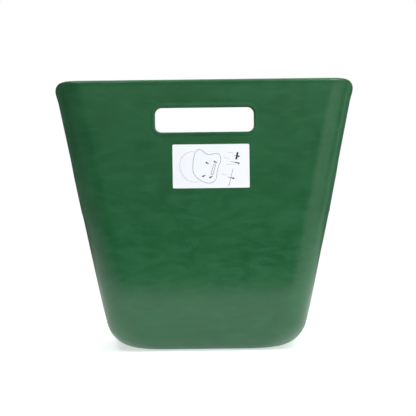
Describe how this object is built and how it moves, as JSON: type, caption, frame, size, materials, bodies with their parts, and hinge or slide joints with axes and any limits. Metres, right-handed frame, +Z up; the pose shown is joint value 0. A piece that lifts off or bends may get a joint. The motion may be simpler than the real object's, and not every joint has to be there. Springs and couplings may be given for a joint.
{
  "type": "feed bucket",
  "caption": "Wall-hung D-shaped stable feed bucket moulded in one piece, with a tall flat back panel, a hand slot and a printed label.",
  "frame": {"origin": "middle of the bounding box at floor level, under the bowl", "axes": "+Z up; +Y is the outward side of the flat back panel, which goes against a wall or gate; the bowl opens upwards and towards -Y; +X runs across the panel"},
  "size_m": [0.3642, 0.3102, 0.333],
  "materials": {
    "bucket_plastic": "satin dark green polyethylene with a fine moulded texture and light scuffs",
    "label_adhesive": "clear-drying acrylic adhesive",
    "label_film": "satin white polypropylene film",
    "label_ink": "flat black printing ink"
  },
  "bodies": {
    "root": {"bucket_shell": "bucket_plastic", "label_adhesive": "label_adhesive", "label_film": "label_film", "label_print": "label_ink"}
  },
  "joints": []
}
